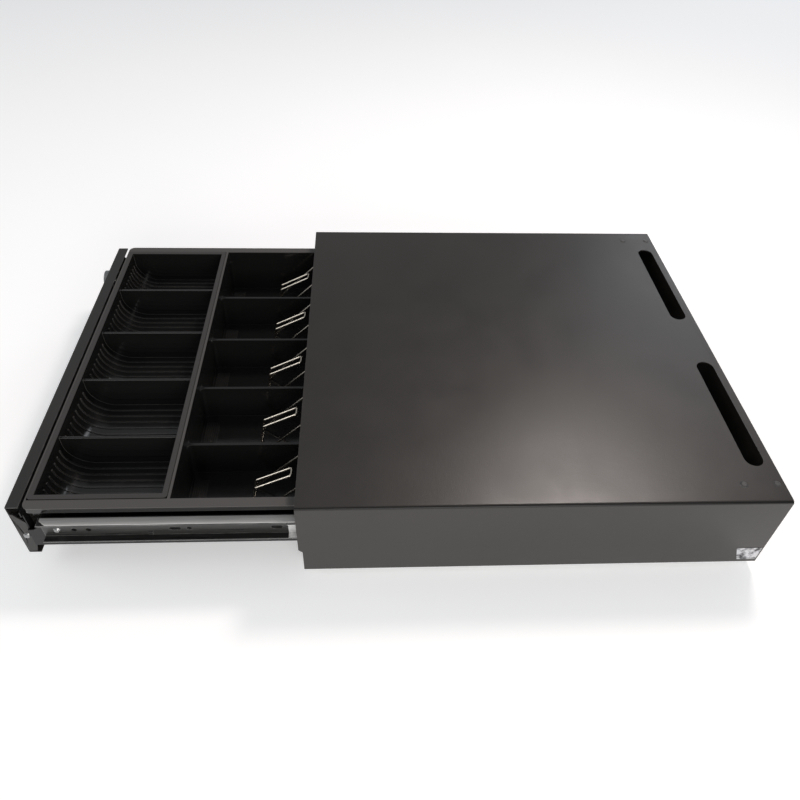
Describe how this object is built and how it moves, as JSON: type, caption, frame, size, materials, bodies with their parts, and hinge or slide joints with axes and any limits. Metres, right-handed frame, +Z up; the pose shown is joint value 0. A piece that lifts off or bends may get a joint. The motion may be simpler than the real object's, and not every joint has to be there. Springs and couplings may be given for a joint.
{
  "type": "cash drawer",
  "caption": "Steel cash drawer on ball slides, drawn out, with a lift-out coin tray, a bill till with wire clips, and a solenoid latch.",
  "frame": {"origin": "middle of the open drawer's footprint, on the counter under the rubber feet", "axes": "+Z up, +Y towards the cabinet's rear, the drawer opens towards -Y, +X to the right seen from the front"},
  "size_m": [0.4102, 0.6632, 0.1009],
  "materials": {
    "cabinet_powder_coat": "satin",
    "drawer_powder_coat": "satin",
    "black_slide_steel": "satin",
    "zinc_plate": "satin",
    "bright_steel": "polished",
    "painted_rivet": "satin",
    "gloss_black_plastic": "gloss",
    "nickel_wire": "polished",
    "lock_chrome": "polished",
    "rubber": "matte",
    "coil_tape": "satin",
    "black_plastic": "satin",
    "contact_gold": "polished",
    "label_silver": "satin"
  },
  "bodies": {
    "cabinet": {"cabinet_shell": "cabinet_powder_coat", "cabinet_base": "cabinet_powder_coat", "rear_panel": "cabinet_powder_coat", "top_rivets": "painted_rivet", "rubber_feet": "rubber", "foot_screws": "bright_steel", "blank_label": "label_silver", "outer_slide_left": "zinc_plate", "outer_slide_right": "zinc_plate", "latch_bracket": "cabinet_powder_coat", "latch_pivot": "zinc_plate", "solenoid_frame": "zinc_plate", "solenoid_coil": "coil_tape", "eject_guide": "cabinet_powder_coat", "eject_spring": "bright_steel", "drawer_switch": "black_plastic", "switch_bracket": "cabinet_powder_coat", "drawer_socket": "black_plastic", "socket_contacts": "contact_gold"},
    "drawer": {"drawer_pan": "drawer_powder_coat", "front_panel": "drawer_powder_coat", "panel_brackets": "zinc_plate", "panel_screws": "bright_steel", "slide_screws": "bright_steel", "inner_slide_left": "black_slide_steel", "inner_slide_right": "black_slide_steel", "lock_housing": "lock_chrome", "lock_nut": "bright_steel", "latch_strike": "zinc_plate"},
    "lock_barrel": {"lock_core": "lock_chrome", "lock_cam": "bright_steel"},
    "till": {"till": "gloss_black_plastic", "clip_rod": "bright_steel"},
    "coin_tray": {"coin_tray": "gloss_black_plastic"},
    "latch": {"latch_lever": "zinc_plate"},
    "plunger": {"solenoid_plunger": "bright_steel"},
    "pusher": {"eject_pusher": "bright_steel"},
    "switch_blade": {"switch_lever": "bright_steel"},
    "bill_clip_1": {"bill_clip_1": "nickel_wire"},
    "bill_clip_2": {"bill_clip_2": "nickel_wire"},
    "bill_clip_3": {"bill_clip_3": "nickel_wire"},
    "bill_clip_4": {"bill_clip_4": "nickel_wire"},
    "bill_clip_5": {"bill_clip_5": "nickel_wire"},
    "balls_left": {"ball_cage_left": "zinc_plate", "slide_balls_left": "bright_steel"},
    "balls_right": {"ball_cage_right": "zinc_plate", "slide_balls_right": "bright_steel"}
  },
  "joints": [
    {"name": "drawer_slide", "type": "slide", "parent": "cabinet", "child": "drawer", "axis": [0, -1, 0], "range_m": [-0.238, 0]},
    {"name": "till_lift", "type": "slide", "parent": "drawer", "child": "till", "axis": [0, 0, 1], "range_m": [0, 0.009]},
    {"name": "coin_tray_lift", "type": "slide", "parent": "till", "child": "coin_tray", "axis": [0, 0, 1], "range_m": [0, 0.06]},
    {"name": "lock_turn", "type": "hinge", "parent": "drawer", "child": "lock_barrel", "pos_m": [-0.15, -0.322, 0.066], "axis": [0, 1, 0], "range_deg": [0, 90]},
    {"name": "balls_left_roll", "type": "slide", "parent": "cabinet", "child": "balls_left", "axis": [0, -1, 0], "range_m": [-0.119, 0]},
    {"name": "balls_right_roll", "type": "slide", "parent": "cabinet", "child": "balls_right", "axis": [0, -1, 0], "range_m": [-0.119, 0]},
    {"name": "bill_clip_1_lift", "type": "hinge", "parent": "till", "child": "bill_clip_1", "pos_m": [-0.1468, -0.081, 0.0795], "axis": [-1, 0, 0], "range_deg": [0, 55]},
    {"name": "bill_clip_2_lift", "type": "hinge", "parent": "till", "child": "bill_clip_2", "pos_m": [-0.0734, -0.081, 0.0795], "axis": [-1, 0, 0], "range_deg": [0, 55]},
    {"name": "bill_clip_3_lift", "type": "hinge", "parent": "till", "child": "bill_clip_3", "pos_m": [0, -0.081, 0.0795], "axis": [-1, 0, 0], "range_deg": [0, 55]},
    {"name": "bill_clip_4_lift", "type": "hinge", "parent": "till", "child": "bill_clip_4", "pos_m": [0.0734, -0.081, 0.0795], "axis": [-1, 0, 0], "range_deg": [0, 55]},
    {"name": "bill_clip_5_lift", "type": "hinge", "parent": "till", "child": "bill_clip_5", "pos_m": [0.1468, -0.081, 0.0795], "axis": [-1, 0, 0], "range_deg": [0, 55]},
    {"name": "solenoid_pull", "type": "slide", "parent": "cabinet", "child": "plunger", "axis": [0, -1, 0], "range_m": [0, 0.006], "stiffness_N_per_m": 200},
    {"name": "latch_turn", "type": "hinge", "parent": "cabinet", "child": "latch", "pos_m": [0, 0.308, 0.048], "axis": [0, 0, -1], "range_deg": [0, 11.5]},
    {"name": "eject_push", "type": "slide", "parent": "cabinet", "child": "pusher", "axis": [0, 1, 0], "range_m": [0, 0.012], "stiffness_N_per_m": 900, "deforming": ["eject_spring"]},
    {"name": "switch_press", "type": "hinge", "parent": "cabinet", "child": "switch_blade", "pos_m": [-0.129, 0.2715, 0.043], "axis": [0, 0, 1], "range_deg": [0, 8], "stiffness_Nm_per_rad": 0.02}
  ],
  "couplings": [
    {"joint": "balls_left_roll", "follows": "drawer_slide", "ratio": 0.5},
    {"joint": "balls_right_roll", "follows": "drawer_slide", "ratio": 0.5},
    {"joint": "latch_turn", "follows": "solenoid_pull", "rad_per_m": 33.333}
  ]
}
